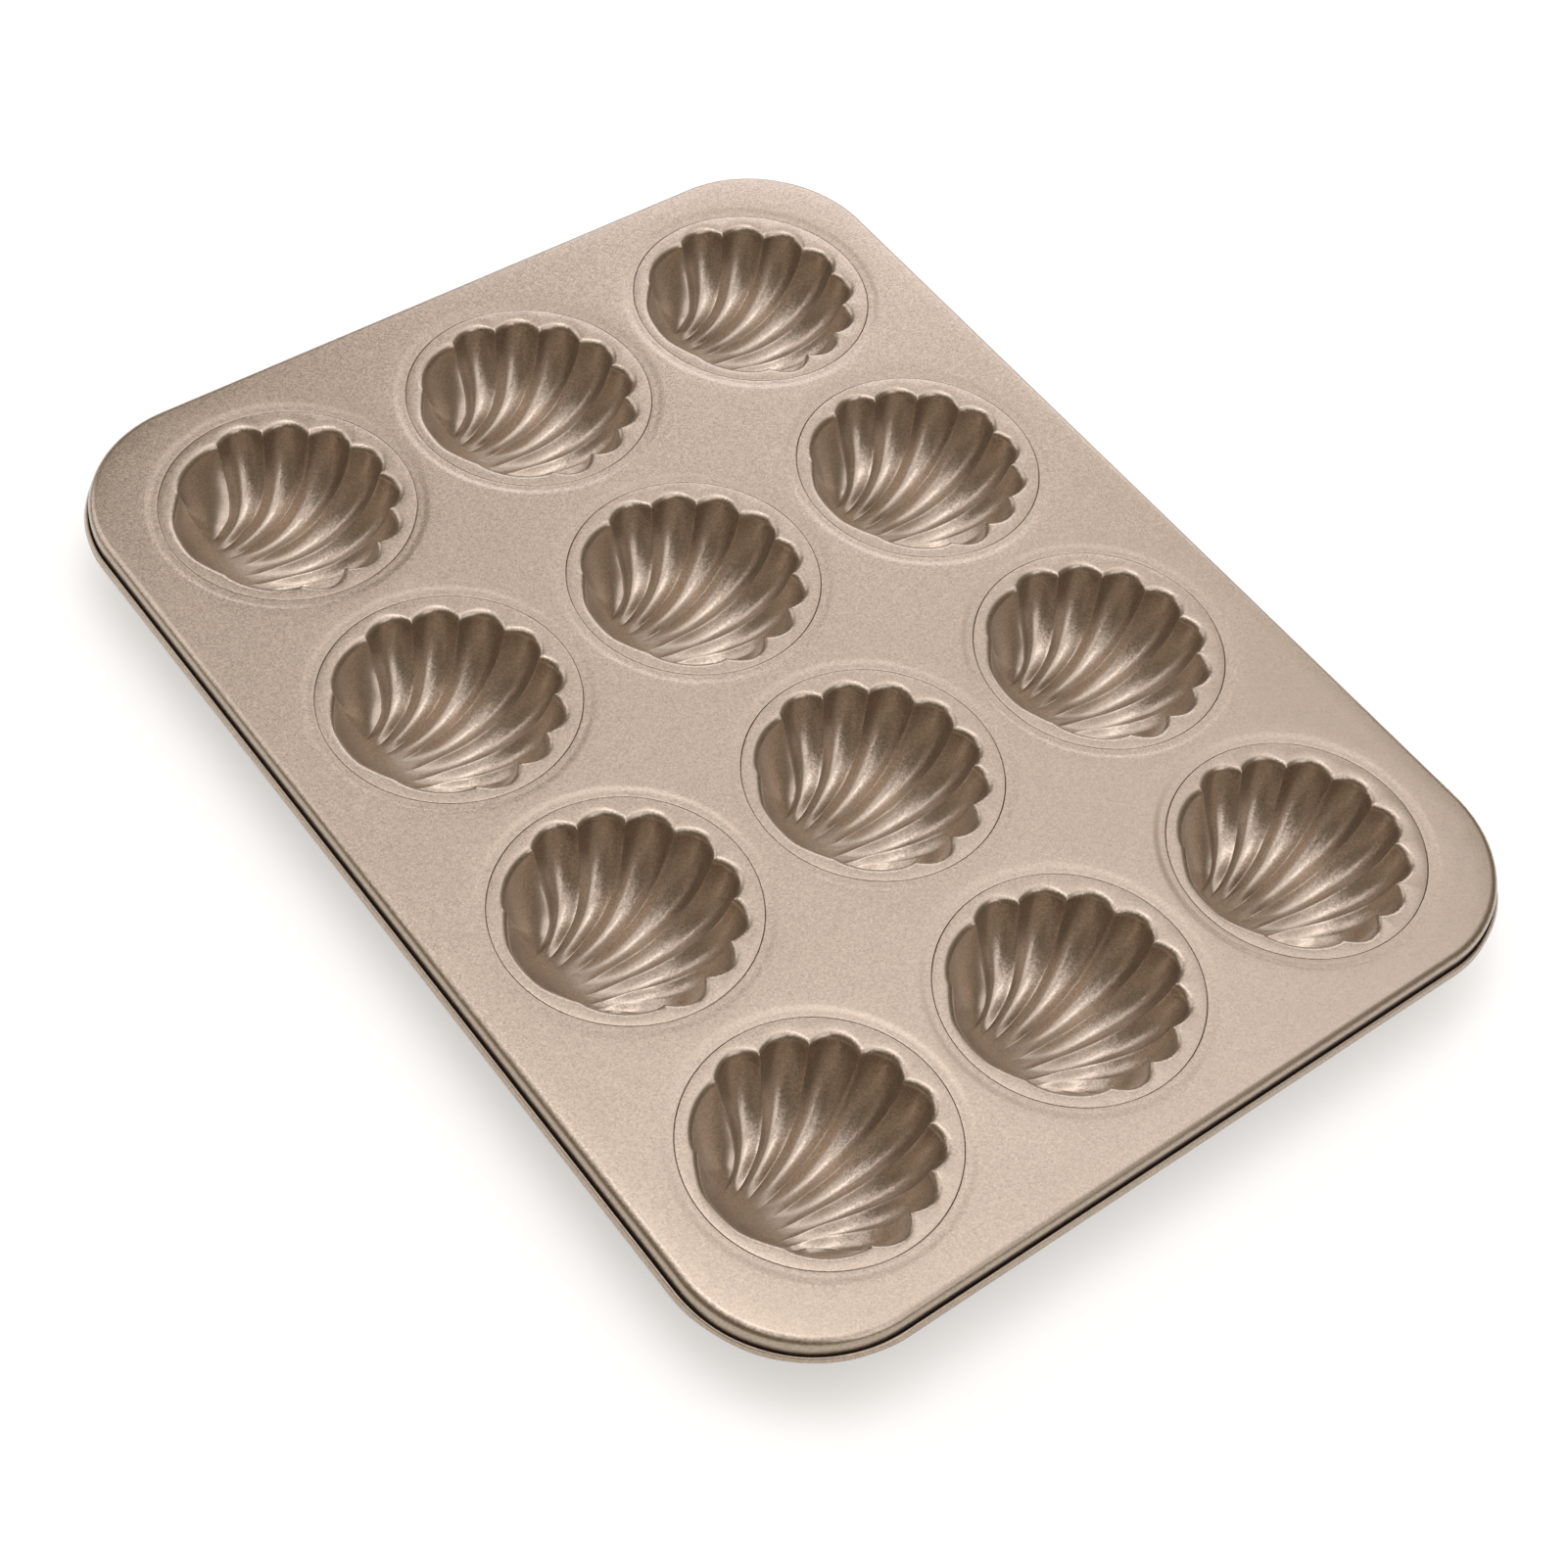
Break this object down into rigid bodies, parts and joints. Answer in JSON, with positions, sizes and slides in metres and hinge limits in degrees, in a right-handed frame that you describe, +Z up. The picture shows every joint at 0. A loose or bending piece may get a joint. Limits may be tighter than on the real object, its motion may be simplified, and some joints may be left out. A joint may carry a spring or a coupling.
{
  "type": "madeleine pan",
  "caption": "Cake pan of coated sheet steel: a flat tray with a rolled edge holds a grid of fluted shell-shaped cups, each locked into its hole by a folded seam.",
  "frame": {"origin": "middle of the pan's footprint, on the surface that the undersides of the cups stand on", "axes": "+X along the row of four cups, +Y along the row of three, +Z up out of the open cups; each shell points its fluted end to +Y and its smooth hinge to -Y"},
  "size_m": [0.3532, 0.268, 0.0281],
  "materials": {
    "coating": "satin champagne-gold non-stick coating with a fine metallic grain, on sheet steel"
  },
  "bodies": {
    "root": {"tray": "coating", "shell_cup_a1": "coating", "shell_cup_a2": "coating", "shell_cup_a3": "coating", "shell_cup_a4": "coating", "shell_cup_b1": "coating", "shell_cup_b2": "coating", "shell_cup_b3": "coating", "shell_cup_b4": "coating", "shell_cup_c1": "coating", "shell_cup_c2": "coating", "shell_cup_c3": "coating", "shell_cup_c4": "coating"}
  },
  "joints": []
}
